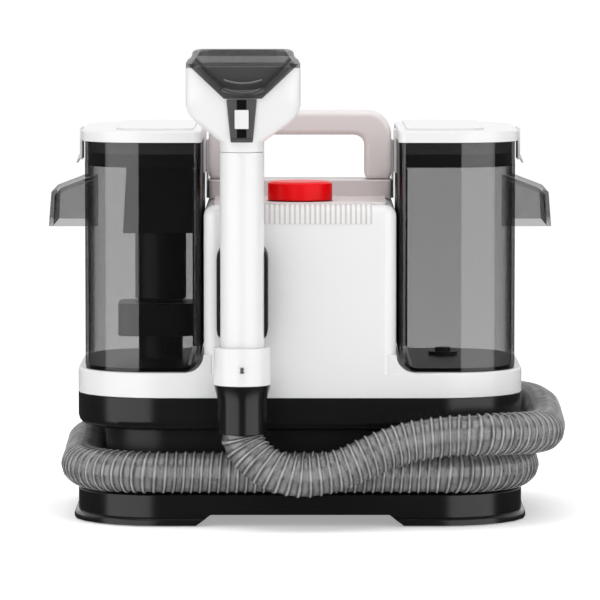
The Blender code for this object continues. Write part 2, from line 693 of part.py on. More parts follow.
def lid(prefix, side):
    """A tank's lid with the hook along its inner edge, the black seal under it, and its outer clip."""
    over = 2.6
    low = (TANK_IN - 0.5, TANK_FRONT - over, LID_LOW)
    high = (TANK_OUT + over, TANK_REAR + over, LID_TOP)
    top = block(f"{prefix}_lid", low, high, white(), (TANK_R_IN, TANK_R_OUT + over), (0, 2.0), side=side)
    raised = block(
        f"{prefix}_lid_rise",
        (TANK_IN + 6, TANK_FRONT + 12, LID_LOW + 4),
        (TANK_OUT - 26, TANK_REAR - 12, LID_TOP + 2.0),
        corners=(8.0, 20.0),
        rims=(0, 1.0),
        segments=4,
        side=side,
    )
    hook_x = BRIDGE_X + GAP + LATCH_THICK + GAP
    hook = block(f"{prefix}_lid_hook", (hook_x, -28, 279), (TANK_IN - 0.5, 2, 312), side=side)
    bridge = block(f"{prefix}_hook_root", (hook_x, -28, 308), (TANK_IN + 5, 2, 314), side=side)
    fuse(top, raised, hook, bridge)
    fit = TANK_WALL + 0.4
    seal_low = (TANK_IN + fit, TANK_FRONT + fit, SEAL_LOW)
    seal_high = (TANK_OUT - fit, TANK_REAR - fit, LID_LOW - GAP)
    radii = (TANK_R_IN - fit, TANK_R_OUT - fit)
    seal = block(f"{prefix}_lid_seal", seal_low, seal_high, black(), radii, side=side)
    hollow_low = (seal_low[0] + WALL, seal_low[1] + WALL, SEAL_LOW - 5)
    hollow_high = (seal_high[0] - WALL, seal_high[1] - WALL, LID_LOW - 4)
    carve(seal, block(f"{prefix}_seal_hollow", hollow_low, hollow_high, corners=(8.0, 43.0), side=side))
    lid_clip(prefix, side)


def lid_clip(prefix, side):
    """The clip that swings out from the lid's outer edge; its origin is on its hinge line."""
    face = TANK_OUT + 2.6 + 0.8
    pivot = (side * (face + 1.1), -13.0, LID_TOP - 1.5)
    clip = block(
        f"{prefix}_lid_clip", (face, -30, 290), (face + 2.2, 4, LID_TOP - 0.5), white(), side=side, origin=pivot
    )

    def flare(x, y, z):
        return (x + 3.4 if z < 292 else x, y, z)

    tab = shaped_block(f"{prefix}_clip_tab", (face + 0.6, -24, 287), (face + 2.2, -2, 296), None, flare, side)
    fuse(clip, tab)


def clean_valve():
    """The valve in the clean tank's floor: its body, and the sprung poppet that the machine's seat lifts."""
    centre = (VALVE_X, VALVE_Y, 0.0)
    floor = TANK_LOW + TANK_WALL
    ring = ((3.6, floor + 3), (12, floor + 3), (12, floor + GAP), (7.7, floor + GAP), (7.7, 116), (3.6, 116))
    turned("clean_valve_body", ring, centre, black(), 20, closed=True)
    stem = ((0, floor + 6), (6.5, floor + 6), (6.5, floor + 3.3), (3.2, floor + 3.3), (3.2, 112), (0, 112))
    turned("clean_valve_poppet", stem, centre, rubber(), 20)


def dirty_parts():
    """Inside the dirty tank: the column that the water rises through, its float and the separator."""
    centre = (COLUMN_X, COLUMN_Y, 0.0)
    floor = TANK_LOW + TANK_WALL + GAP
    profile = ((0, 231.9), (20.9, 231.9), (20.9, 176), (18.0, 174), (18.0, floor), (0, floor))
    turned("suction_column", profile, centre, black(), 28)
    cup = block("float_cup", (87.0, -38, 146.0), (148.5, 18, 172.6), black(), 10.0, segments=4, side=-1)
    carve(cup, rod("float_bore", 21.3, 130, 190, centre, steps=32))
    separator = shaped_block(
        "separator_housing",
        (86.8, -70, 232.2),
        (143.0, 50, SEAL_LOW - 0.6),
        black(),
        lambda x, y, z: (x - 3.0 if z > 250 and x > 130 else x, y, z),
        side=-1,
    )
    return cup, separator


def tool_body():
    """The hand tool's tube with the trigger's ears, its sleeve, screw, collar and trigger."""
    centre = (TOOL_X, TOOL_Y, 0.0)
    bore = TUBE_R - TUBE_WALL
    wall = ((TUBE_R, TUBE_TOP), (TUBE_R, 125), (bore, 125), (bore, TUBE_TOP))
    tube = turned("tool_tube", wall, centre, white(), 32, closed=True)
    for sign in (-1, 1):
        near, far = sorted((TOOL_X + sign * 6.6, TOOL_X + sign * 9.0))
        fuse(tube, block(f"trigger_ear_{sign}", (near, -129, 289), (far, -119, 300)))
    hold = TUBE_R + GAP
    sleeve = (
        (SLEEVE_R, SLEEVE_TOP), (SLEEVE_R, SLEEVE_LOW), (TOOL_BORE, SLEEVE_LOW), (TOOL_BORE, 124.7),
        (hold, 124.7), (hold, SLEEVE_TOP),
    )
    sleeve = turned("tool_sleeve", sleeve, centre, white(), 32, closed=True)
    turn = (math.pi / 2, 0.0, 0.0)
    carve(sleeve, rod("screw_hole", 1.7, 0, 40, (TOOL_X, TOOL_Y, 129.5), steps=12, turn=turn))
    screw = ((0, 24.2), (2.6, 23.8), (2.6, 22.8), (1.4, 22.8), (1.4, 18.2), (0, 18.2))
    turned("sleeve_screw", screw, (TOOL_X, TOOL_Y, 129.5), steel(), 12, turn=turn)
    top = SLEEVE_LOW - GAP
    collar = (
        (SLEEVE_R, top), (COLLAR_R_LOW, 104), (COLLAR_R_LOW, COLLAR_LOW), (TOOL_BORE, COLLAR_LOW),
        (TOOL_BORE, top),
    )
    turned("hose_collar", collar, centre, black(), 32, closed=True)
    spray_trigger()


def spray_trigger():
    """The lever on the tube's rear that opens the spray; its origin is on its pivot."""
    bm = bmesh.new()
    bmesh.ops.create_cube(bm, size=1.0)
    low, high = (TOOL_X - 6.2, -126.0, 264.0), (TOOL_X + 6.2, -119.5, 299.0)
    bmesh.ops.scale(bm, verts=bm.verts, vec=[high[i] - low[i] for i in range(3)])
    bmesh.ops.translate(bm, verts=bm.verts, vec=[(high[i] + low[i]) / 2 for i in range(3)])
    for vert in bm.verts:
        if vert.co.z < 280:
            vert.co.y += 4.5
    mesh_object("spray_trigger", bm, black(), (TOOL_X, TRIGGER_PIVOT_Y, TRIGGER_PIVOT_Z))


def head_front(z):
    """How far forward the head's shell stands at a height, on its middle line."""
    foot, knee = 308.5, 344.0
    reach = min(max((z - foot) / (knee - foot), 0.0), 1.0)
    return TOOL_Y - TUBE_R - 8.4 * reach


def tool_head():
    """The suction head: a shell that flares from the tube, and its clear window with the mouth."""
    section = (
        (HEAD_LOW, TUBE_R, 2.0, 35.2), (309.5, TUBE_R, 2.0, 35.2), (324.5, 36.8, 3.6, 35.6),
        (329.0, 41.3, 4.2, 35.8), (333.5, 44.0, 4.6, 35.8), (338.5, HEAD_HALF, 5.0, 35.6),
        (344.0, HEAD_HALF, 5.0, 35.0), (352.0, HEAD_HALF, 5.0, 34.0), (HEAD_SHOULDER, HEAD_HALF, 5.0, 31.0),
    )  # height, half width, squareness, depth
    outer, inner = [], []
    thick = 2.4
    for z, half, power, depth in section:
        shift = HEAD_SHIFT if half > TUBE_R else 0.0
        middle = (TOOL_X + shift, head_front(z) + depth / 2)
        outer.append(ring_of(z, middle, (half, depth / 2), power))
        inner.append(ring_of(z, middle, (half - thick, depth / 2 - thick), power))
    shell = loft("head_shell", outer + inner[::-1], white(), tube=True)
    spigot_r = TUBE_R - TUBE_WALL - 0.4
    spigot = ((16.6, 306), (16.6, 302), (spigot_r, 302), (spigot_r, 288), (12.6, 288), (12.6, 306))
    fuse(shell, turned("spigot", spigot, (TOOL_X, TOOL_Y, 0), None, 32, closed=True))
    nozzle_window()
    head_slider()


def nozzle_window():
    """The clear front of the head, down to a narrow foot, and the lip round the suction mouth."""
    front, back = HEAD_FRONT, head_front(350) - GAP
    foot, shoulder = 344.3, HEAD_SHOULDER + GAP

    middle_x = TOOL_X + HEAD_SHIFT

    def narrow(x, y, z):
        return (middle_x + (x - middle_x) * 15.0 / 44.0 if z < 350 else x, y, z)

    pane_low, pane_high = (middle_x - 44.0, front, foot), (middle_x + 44.0, back, shoulder + 3)
    pane = shaped_block("nozzle_window", pane_low, pane_high, smoke(), narrow)
    levels = (
        (shoulder, 45.0, 0.0, 33.0), (371.5, 45.2, 0.6, 31.0), (374.5, 43.8, 2.0, 27.0), (376.8, 41.0, 4.0, 22.5),
        (378.0, 40.4, 4.8, 20.0), (381.0, 39.6, 6.0, 16.5), (382.4, 37.6, 6.6, 14.8), (HEAD_TOP, 35.0, 7.0, 14.0),
    )  # height, half width, how far behind the front, depth
    outer = [ring_of(z, (middle_x, front + inset + deep / 2), (half, deep / 2), 5.0) for z, half, inset, deep in levels]
    inner = [
        ring_of(shoulder, (middle_x, front + 33.0 / 2), (HEAD_HALF - 2.7, 33.0 / 2 - 2.7), 5.0),
        ring_of(HEAD_TOP, (middle_x, front + 14.0), (32.5, 4.0), 5.0),
    ]
    fuse(pane, loft("window_lip", outer + inner[::-1], tube=True))


def head_slider():
    """The dark track down the head's front, and the slider that lets the head off the tube."""
    rest = 1.6

    def lay(gap, thick, taper):
        def move(x, y, z):
            surface = TOOL_Y - TUBE_R - 8.4 * (z - 308.5) / 35.5 - gap
            half = 8.7 + (12.0 - 8.7) * (z - 309.5) / 34.2 if taper else 5.5
            return (TOOL_X + math.copysign(half, x - TOOL_X), surface - (thick if y < 0 else 0.0), z)

        return move

    track_low, track_high = (TOOL_X - 5, -1.0, 309.5), (TOOL_X + 5, 1.0, 343.7)
    shaped_block("slider_track", track_low, track_high, black(), lay(0.4, rest, True))
    low, high = (TOOL_X - 5, -1.0, 320.4), (TOOL_X + 5, 1.0, 335.5)
    shaped_block("release_slider", low, high, white(), lay(0.4 + rest + GAP, 1.7, False))


def suction_hose():
    pipe("suction_hose", smooth_route(HOSE_ROUTE, HOSE_STEP), HOSE_R, hose_vinyl(), 3)


def build():
    clear_scene()
    new_collection(MACHINE)
    new_collection(CUTTERS, cutters=True)
    root = bpy.data.objects.new("machine", None)
    root.location = (0.0, BODY_Y * MM, 0.0)
    bpy.data.collections[MACHINE].objects.link(root)
    for make in (base_tray, channel_core, chassis_tray, main_housing, rear_cover, vent_grille, top_deck):
        make()
    for make in (carry_handle, power_button, tool_cradle, suction_unit, water_parts, control_board):
        make()
    for make in (suction_duct, hose_port, cord_gland, tank_latches, clean_valve, dirty_parts):
        make()
    for prefix, side in (("clean", 1), ("dirty", -1)):
        tank(prefix, side)
        lid(prefix, side)
    for make in (tool_body, tool_head, suction_hose):
        make()


build()
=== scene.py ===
import math

import bmesh
import bpy
import numpy as np
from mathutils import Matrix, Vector


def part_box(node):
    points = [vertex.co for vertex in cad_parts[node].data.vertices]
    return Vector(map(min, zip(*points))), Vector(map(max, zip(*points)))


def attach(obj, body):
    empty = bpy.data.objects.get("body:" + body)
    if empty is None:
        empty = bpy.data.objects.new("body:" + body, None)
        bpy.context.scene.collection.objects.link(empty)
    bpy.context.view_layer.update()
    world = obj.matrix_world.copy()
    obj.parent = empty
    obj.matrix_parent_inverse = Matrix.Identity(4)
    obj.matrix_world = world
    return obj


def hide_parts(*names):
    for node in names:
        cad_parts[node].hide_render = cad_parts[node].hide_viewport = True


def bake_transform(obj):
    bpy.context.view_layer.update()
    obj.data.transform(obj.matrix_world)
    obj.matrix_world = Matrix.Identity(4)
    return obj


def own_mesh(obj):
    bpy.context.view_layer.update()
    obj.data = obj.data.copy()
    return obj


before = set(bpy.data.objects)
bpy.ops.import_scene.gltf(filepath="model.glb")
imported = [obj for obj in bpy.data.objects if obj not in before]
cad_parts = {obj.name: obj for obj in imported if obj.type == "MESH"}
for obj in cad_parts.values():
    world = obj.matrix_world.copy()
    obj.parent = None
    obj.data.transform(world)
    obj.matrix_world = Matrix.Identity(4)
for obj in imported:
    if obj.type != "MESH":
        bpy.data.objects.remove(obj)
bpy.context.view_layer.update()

# ---- Viewpoint and studio -------------------------------------------------------------------
# A long lens stands well back at table height and looks slightly down. The machine stands on a
# plain pale floor, under an even white sky, between two tall soft panels that only show as gloss.
MM = 0.001
CAMERA_BACK, CAMERA_HIGH, CAMERA_TILT = 4.1, 0.48, 4.283
LENS_MM, SENSOR_MM = 300.0, 36.0
SKY_LIGHT, GLOSS_DARK, GLOSS_BRIGHT = 0.7, 0.05, 1.0
GLOSS_SKY_EDGES = (("Y", -0.25, 0.45), ("Z", -0.02, 0.05))
TOP_WATTS, FRONT_WATTS, SIDE_GLOSS_WATTS, FLOOR_GLOW = 29.0, 4.0, 96.0, 0.34
SIDE_X, SIDE_Y, SIDE_AIM_X, SIDE_AIM_Y, SIDE_Z = 2.374, -2.145, -0.074, -0.087, 0.5
housing_low, housing_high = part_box("main_housing")
MIDDLE_Y = (housing_low.y + housing_high.y) / 2

camera_data = bpy.data.cameras.new("studio_camera")
camera_data.lens = LENS_MM
camera_data.sensor_width = SENSOR_MM
camera_data.clip_end = 100.0
camera = bpy.data.objects.new("studio_camera", camera_data)
camera.location = (0.0, MIDDLE_Y - CAMERA_BACK, CAMERA_HIGH)
camera.rotation_euler = (math.radians(90.0 - CAMERA_TILT), 0.0, 0.0)
bpy.context.scene.collection.objects.link(camera)
bpy.context.scene.camera = camera
bpy.context.scene.view_settings.view_transform = "Standard"


def studio_sky():
    """White to the eye and softer as light. Mirrored, it is white above and behind, dark in front."""
    world = bpy.data.worlds.new("studio_sky")
    world.use_nodes = True
    nodes, links = world.node_tree.nodes, world.node_tree.links
    nodes.clear()
    out = nodes.new("ShaderNodeOutputWorld")
    path = nodes.new("ShaderNodeLightPath")
    seen, light, gloss = (nodes.new("ShaderNodeBackground") for _ in range(3))
    for shade, strength in ((seen, 1.0), (light, SKY_LIGHT), (gloss, 1.0)):
        shade.inputs["Color"].default_value = (1.0, 1.0, 1.0, 1.0)
        shade.inputs["Strength"].default_value = strength
    direction, parts = nodes.new("ShaderNodeTexCoord"), nodes.new("ShaderNodeSeparateXYZ")
    links.new(direction.outputs["Generated"], parts.inputs[0])
    steps = []
    for axis, low, high in GLOSS_SKY_EDGES:
        step = nodes.new("ShaderNodeMapRange")
        step.interpolation_type = "SMOOTHSTEP"
        step.inputs["From Min"].default_value = low
        step.inputs["From Max"].default_value = high
        links.new(parts.outputs[axis], step.inputs["Value"])
        steps.append(step.outputs["Result"])
    both, rise = nodes.new("ShaderNodeMath"), nodes.new("ShaderNodeMapRange")
    both.operation = "MULTIPLY"
    links.new(steps[0], both.inputs[0])
    links.new(steps[1], both.inputs[1])
    rise.inputs["To Min"].default_value = GLOSS_DARK
    rise.inputs["To Max"].default_value = GLOSS_BRIGHT
    links.new(both.outputs[0], rise.inputs["Value"])
    links.new(rise.outputs["Result"], gloss.inputs["Strength"])
    glossy, camera_ray = nodes.new("ShaderNodeMixShader"), nodes.new("ShaderNodeMixShader")
    links.new(path.outputs["Is Glossy Ray"], glossy.inputs["Fac"])
    links.new(light.outputs[0], glossy.inputs[1])
    links.new(gloss.outputs[0], glossy.inputs[2])
    links.new(path.outputs["Is Camera Ray"], camera_ray.inputs["Fac"])
    links.new(glossy.outputs[0], camera_ray.inputs[1])
    links.new(seen.outputs[0], camera_ray.inputs[2])
    links.new(camera_ray.outputs[0], out.inputs["Surface"])
    bpy.context.scene.world = world


def soft_panel(name, place, towards, size, watts, gloss_only=False):
    """A flat area light facing a point, never seen itself."""
    data = bpy.data.lights.new(name, "AREA")
    data.shape = "RECTANGLE"
    data.size, data.size_y = size
    data.energy = watts
    panel = bpy.data.objects.new(name, data)
    panel.location = place
    panel.rotation_euler = (Vector(towards) - Vector(place)).to_track_quat("-Z", "Y").to_euler()
    panel.visible_camera = False
    panel.visible_diffuse = not gloss_only
    bpy.context.scene.collection.objects.link(panel)
    return panel


studio_sky()
aim = (0.0, 0.0, 0.2)
soft_panel("top_panel", (0.0, -0.6, 2.6), aim, (2.6, 2.0), TOP_WATTS)
soft_panel("front_panel", (-0.9, -3.0, 1.7), aim, (1.2, 1.0), FRONT_WATTS).visible_glossy = False
for side in (-1, 1):
    place, towards = (side * SIDE_X, SIDE_Y, SIDE_Z), (side * SIDE_AIM_X, SIDE_AIM_Y, SIDE_Z)
    soft_panel(f"side_gloss_{side}", place, towards, (4.1, 3.4), SIDE_GLOSS_WATTS, True)

floor_mesh = bpy.data.meshes.new("floor")
bm = bmesh.new()
bmesh.ops.create_grid(bm, x_segments=1, y_segments=1, size=30.0)
bm.to_mesh(floor_mesh)
bm.free()
floor = bpy.data.objects.new("floor", floor_mesh)
bpy.context.scene.collection.objects.link(floor)
floor_finish = bpy.data.materials.new("floor_white")
floor_finish.use_nodes = True
floor_shader = floor_finish.node_tree.nodes["Principled BSDF"]
floor_shader.inputs["Base Color"].default_value = (0.97, 0.97, 0.97, 1.0)
floor_shader.inputs["Roughness"].default_value = 0.6
floor_shader.inputs["Specular IOR Level"].default_value = 0.0
floor_shader.inputs["Emission Color"].default_value = (1.0, 1.0, 1.0, 1.0)
floor_shader.inputs["Emission Strength"].default_value = FLOOR_GLOW
floor_mesh.materials.append(floor_finish)
floor.visible_glossy = False

# ---- Suction hose ---------------------------------------------------------------------------
# A 34 mm hose of clear grey vinyl, wound round a raised helix, so each turn stands up as a thin
# ridge. It leaves the port at the rear, goes about one and a third turns round the base and rises
# to the hand tool. Its last stretch, the neck, is made as a piece of its own.
HOSE_RIDGE_R, HOSE_VALLEY_R, HOSE_BORE_R = 17.35 * MM, 15.5 * MM, 13.9 * MM
HOSE_PITCH, RINGS_PER_TURN, HOSE_SIDES = 7.3 * MM, 11, 36
NECK_LENGTH, CURVE_STEPS, RIDGE_SHARPNESS = 0.235, 40, 0.6
hose_route = (
    (-45.9, -144.0, 77.1), (-45.9, -144.0, 73.4), (-43.4, -145.3, 67.0), (-37.8, -147.9, 60.0),
    (-28.8, -151.0, 52.8), (-15.0, -153.2, 46.4), (1.3, -153.6, 43.6), (18.0, -153.0, 45.7),
    (37.0, -150.6, 51.0), (60.0, -146.2, 61.2), (86.0, -140.8, 69.8), (116.0, -138.2, 74.2),
    (145.0, -136.0, 75.6), (174.0, -118.0, 74.8), (192.5, -90.0, 73.4), (198.4, -55.0, 73.6),
    (199.2, 0.0, 77.0), (198.4, 50.0, 79.6), (186.2, 97.4, 80.4), (154.2, 128.2, 79.6),
    (112.0, 139.6, 77.2), (70.0, 141.0, 73.6), (25.0, 138.4, 68.4), (-25.0, 131.4, 61.6),
    (-75.0, 122.4, 56.0), (-122.6, 116.0, 53.6), (-157.0, 98.4, 52.0), (-174.8, 68.0, 50.8),
    (-176.8, 30.0, 49.2), (-176.6, -20.0, 45.6), (-175.9, -62.0, 43.6), (-159.4, -96.0, 43.2),
    (-125.6, -116.2, 43.2), (-80.0, -116.6, 43.2), (0.0, -116.2, 43.2), (80.0, -116.4, 43.2),
    (125.6, -116.2, 43.2), (159.6, -96.0, 43.2), (176.0, -61.0, 43.2), (177.0, -10.0, 43.2),
    (176.6, 52.0, 43.3), (164.8, 91.4, 43.4), (147.0, 109.0, 43.5), (131.0, 115.4, 43.5),
    (123.0, 116.2, 43.5), (118.3, 116.2, 43.5),
)  # in millimetres about the body's middle, from the hand tool's collar to the cuff


def even_line(points, step):
    """Points a fixed step apart along the smooth curve through the route, in metres."""
    route = [Vector(p) * MM + Vector((0.0, MIDDLE_Y, 0.0)) for p in points]
    route = [2 * route[0] - route[1], *route, 2 * route[-1] - route[-2]]
    fine = [route[1]]
    for p0, p1, p2, p3 in zip(route, route[1:], route[2:], route[3:]):
        for i in range(1, CURVE_STEPS + 1):
            t = i / CURVE_STEPS
            curve = 2 * p1 + (p2 - p0) * t + (2 * p0 - 5 * p1 + 4 * p2 - p3) * t**2
            fine.append((curve + (3 * p1 - p0 - 3 * p2 + p3) * t**3) / 2)
    reach = [0.0]
    for before, after in zip(fine, fine[1:]):
        reach.append(reach[-1] + (after - before).length)
    count = round(reach[-1] / step)
    at = np.linspace(0.0, reach[-1], count + 1)
    places = np.array([np.interp(at, reach, [p[axis] for p in fine]) for axis in range(3)]).T
    return places, reach[-1]


def carried_frames(places):
    """Two directions square to the line at each point, turned as little as possible along it."""
    ahead = np.gradient(places, axis=0)
    ahead /= np.linalg.norm(ahead, axis=1)[:, None]
    side = np.cross(ahead[0], (0.0, 1.0, 0.0))
    sides = []
    for direction in ahead:
        side = side - direction * (side @ direction)
        side /= np.linalg.norm(side)
        sides.append(side)
    sides = np.array(sides)
    return sides, np.cross(ahead, sides)


def ribbed_tube(name, places, sides, ups, first_ring):
    """A stretch of the hose: a ribbed outer skin, a plain bore, and a ring that closes each end."""
    count = len(places)
    turn = np.linspace(0.0, 2 * math.pi, HOSE_SIDES, endpoint=False)
    rings = np.arange(first_ring, first_ring + count)[:, None]
    phase = (rings / RINGS_PER_TURN + turn[None, :] / (2 * math.pi)) % 1.0
    dip = np.sin(math.pi * phase) ** RIDGE_SHARPNESS
    radius = HOSE_RIDGE_R - (HOSE_RIDGE_R - HOSE_VALLEY_R) * dip
    across, along = np.cos(turn)[None, :, None], np.sin(turn)[None, :, None]
    around = across * sides[:, None, :] + along * ups[:, None, :]
    outer = places[:, None, :] + radius[:, :, None] * around
    inner_rows = list(range(0, count - 1, RINGS_PER_TURN)) + [count - 1]
    inner = places[inner_rows, None, :] + HOSE_BORE_R * around[inner_rows]
    points = np.concatenate([outer.reshape(-1, 3), inner[::-1].reshape(-1, 3)])
    rows = count + len(inner_rows)
    corner = np.arange(HOSE_SIDES)
    after = (corner + 1) % HOSE_SIDES
    faces = []
    for row in range(rows):
        here, there = row * HOSE_SIDES, ((row + 1) % rows) * HOSE_SIDES
        faces.append(np.stack([here + corner, here + after, there + after, there + corner], axis=1))
    mesh = bpy.data.meshes.new(name)
    mesh.from_pydata(points, [], np.concatenate(faces).tolist())
    ridge = mesh.attributes.new("ridge", "FLOAT", "POINT")
    height = np.zeros(len(points), np.float32)
    height[: outer.shape[0] * HOSE_SIDES] = (1.0 - dip).ravel()
    ridge.data.foreach_set("value", height)
    mesh.shade_smooth()
    tube = bpy.data.objects.new(name, mesh)
    bpy.context.scene.collection.objects.link(tube)
    return tube


# The vinyl's tones from the valley between two turns to the top of the ridge, with a painted shade line
# on the ridge's flank and a painted highlight on its crest, and how much it hides.
HOSE_TONES_AND_PAINTED_LIGHT = ((0.0, 0.30), (0.12, 0.21), (0.30, 0.045), (0.50, 0.22), (0.85, 0.50))
FILM_COVER, RIDGE_COVER = 0.6, 0.95


def hose_vinyl():
    """Clear grey vinyl, with painted light on the helix: a painted highlight along its crest and a
    painted shade line on its flank. The film between its turns shows through.
    """
    finish = bpy.data.materials.new("hose_vinyl")
    finish.use_nodes = True
    nodes, links = finish.node_tree.nodes, finish.node_tree.links
    shader = nodes["Principled BSDF"]
    ridge = nodes.new("ShaderNodeAttribute")
    ridge.attribute_name = "ridge"
    colour = nodes.new("ShaderNodeValToRGB")
    ramp = colour.color_ramp
    while len(ramp.elements) < len(HOSE_TONES_AND_PAINTED_LIGHT):
        ramp.elements.new(0.5)
    for element, (position, shade) in zip(ramp.elements, HOSE_TONES_AND_PAINTED_LIGHT):
        element.position = position
        element.color = (shade, shade, shade * 1.02, 1.0)
    links.new(ridge.outputs["Fac"], colour.inputs["Fac"])
    cover = nodes.new("ShaderNodeMapRange")
    cover.inputs["To Min"].default_value = FILM_COVER
    cover.inputs["To Max"].default_value = RIDGE_COVER
    links.new(ridge.outputs["Fac"], cover.inputs["Value"])
    links.new(cover.outputs["Result"], shader.inputs["Alpha"])
    place = nodes.new("ShaderNodeTexCoord")
    ripple = nodes.new("ShaderNodeTexNoise")
    ripple.inputs["Scale"].default_value = 75.0
    ripple.inputs["Detail"].default_value = 2.0
    links.new(place.outputs["Object"], ripple.inputs["Vector"])
    # Noise streaks the colour darker and paler at random; the pale streaks are painted highlights.
    highlight_streak, tint = nodes.new("ShaderNodeMapRange"), nodes.new("ShaderNodeVectorMath")
    highlight_streak.inputs["From Min"].default_value = 0.35
    highlight_streak.inputs["From Max"].default_value = 0.65
    highlight_streak.inputs["To Min"].default_value = 0.8
    highlight_streak.inputs["To Max"].default_value = 1.2
    tint.operation = "SCALE"
    links.new(ripple.outputs["Fac"], highlight_streak.inputs["Value"])
    links.new(colour.outputs["Color"], tint.inputs[0])
    links.new(highlight_streak.outputs["Result"], tint.inputs["Scale"])
    links.new(tint.outputs["Vector"], shader.inputs["Base Color"])
    bump = nodes.new("ShaderNodeBump")
    bump.inputs["Distance"].default_value = 0.0008
    bump.inputs["Strength"].default_value = 0.5
    links.new(ripple.outputs["Fac"], bump.inputs["Height"])
    links.new(bump.outputs["Normal"], shader.inputs["Normal"])
    shader.inputs["Roughness"].default_value = 0.16
    shader.inputs["IOR"].default_value = 1.75
    return finish


hose_places, hose_length = even_line(hose_route, HOSE_PITCH / RINGS_PER_TURN)
hose_sides, hose_ups = carried_frames(hose_places)
neck_rings = round(NECK_LENGTH / hose_length * (len(hose_places) - 1))
hose_finish = hose_vinyl()
stretches = (("hose_neck", 0, neck_rings + 1), ("hose_wrap", neck_rings, len(hose_places)))
for name, first, last in stretches:
    span = slice(first, last)
    stretch = ribbed_tube(name, hose_places[span], hose_sides[span], hose_ups[span], first)
    stretch.data.materials.append(hose_finish)
hose_neck, hose_wrap = bpy.data.objects["hose_neck"], bpy.data.objects["hose_wrap"]
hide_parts("suction_hose")
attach(hose_wrap, "machine")
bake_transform(hose_neck)

# ---- Moulded plastics -----------------------------------------------------------------------
# Every hard shell is injection moulded with a fine even grain. The grain, the faint change of
# shade and the patchy gloss are one effect, placed in each plastic with its own values.


def moulded_surface():
    """The grain, the faint change of shade and the patchy gloss, as one node group."""
    group = bpy.data.node_groups.new("moulded_surface", "ShaderNodeTree")
    inputs = (
        ("Colour", "NodeSocketColor", (0.8, 0.8, 0.8, 1.0)), ("Shade", "NodeSocketFloat", 0.03),
        ("Roughness", "NodeSocketFloat", 0.3), ("Spread", "NodeSocketFloat", 0.04),
        ("Grain", "NodeSocketFloat", 900.0), ("Depth", "NodeSocketFloat", 0.00003),
    )
    for name, kind, value in inputs:
        group.interface.new_socket(name, in_out="INPUT", socket_type=kind).default_value = value
    outputs = (
        ("Colour", "NodeSocketColor"), ("Roughness", "NodeSocketFloat"), ("Normal", "NodeSocketVector"),
    )
    for name, kind in outputs:
        group.interface.new_socket(name, in_out="OUTPUT", socket_type=kind)
    nodes, links = group.nodes, group.links
    asked, given = nodes.new("NodeGroupInput"), nodes.new("NodeGroupOutput")
    place = nodes.new("ShaderNodeTexCoord")
    cloud, patch, grain = (nodes.new("ShaderNodeTexNoise") for _ in range(3))
    cloud.inputs["Scale"].default_value = 9.0
    patch.inputs["Scale"].default_value = 45.0
    for noise in (cloud, patch, grain):
        noise.inputs["Detail"].default_value = 2.0
        links.new(place.outputs["Object"], noise.inputs["Vector"])
    links.new(asked.outputs["Grain"], grain.inputs["Scale"])
    lift = nodes.new("ShaderNodeMath")
    lift.operation = "SUBTRACT"
    lift.inputs[1].default_value = 0.5
    links.new(cloud.outputs["Fac"], lift.inputs[0])
    change = nodes.new("ShaderNodeMath")
    change.operation = "MULTIPLY_ADD"
    change.inputs[2].default_value = 1.0
    links.new(lift.outputs[0], change.inputs[0])
    links.new(asked.outputs["Shade"], change.inputs[1])
    tint = nodes.new("ShaderNodeVectorMath")
    tint.operation = "SCALE"
    links.new(asked.outputs["Colour"], tint.inputs[0])
    links.new(change.outputs[0], tint.inputs["Scale"])
    links.new(tint.outputs["Vector"], given.inputs["Colour"])
    uneven = nodes.new("ShaderNodeMath")
    uneven.operation = "MULTIPLY_ADD"
    links.new(patch.outputs["Fac"], uneven.inputs[0])
    links.new(asked.outputs["Spread"], uneven.inputs[1])
    links.new(asked.outputs["Roughness"], uneven.inputs[2])
    links.new(uneven.outputs[0], given.inputs["Roughness"])
    bump = nodes.new("ShaderNodeBump")
    bump.inputs["Strength"].default_value = 1.0
    links.new(grain.outputs["Fac"], bump.inputs["Height"])
    links.new(asked.outputs["Depth"], bump.inputs["Distance"])
    links.new(bump.outputs["Normal"], given.inputs["Normal"])
    return group


plastic_effect = moulded_surface()


FINE_GRAIN, FAINT_DEPTH, LOW_DEPTH, PLAIN_DEPTH = 1600.0, 0.00001, 0.00002, 0.00003
GLOSS_SPREAD = 0.04


def plastic(name, colour, roughness, shade=0.03, grain=900.0, depth=PLAIN_DEPTH, shine=0.5):
    """A moulded plastic; shine is how strongly its face mirrors."""
    finish = bpy.data.materials.new(name)
    finish.use_nodes = True
    nodes, links = finish.node_tree.nodes, finish.node_tree.links
    shader = nodes["Principled BSDF"]
    effect = nodes.new("ShaderNodeGroup")
    effect.node_tree = plastic_effect
    effect.inputs["Colour"].default_value = (*colour, 1.0)
    values = (
        ("Shade", shade), ("Roughness", roughness), ("Spread", GLOSS_SPREAD), ("Grain", grain),
        ("Depth", depth),
    )
    for socket, value in values:
        effect.inputs[socket].default_value = value
    links.new(effect.outputs["Colour"], shader.inputs["Base Color"])
    links.new(effect.outputs["Roughness"], shader.inputs["Roughness"])
    links.new(effect.outputs["Normal"], shader.inputs["Normal"])
    shader.inputs["Specular IOR Level"].default_value = shine
    return finish


def smooth_plastic(name, colour, roughness, shade, depth=FAINT_DEPTH, shine=0.5):
    """A plastic with the finest grain, as on the machine's outer shells."""
    return plastic(name, colour, roughness, shade, FINE_GRAIN, depth, shine)


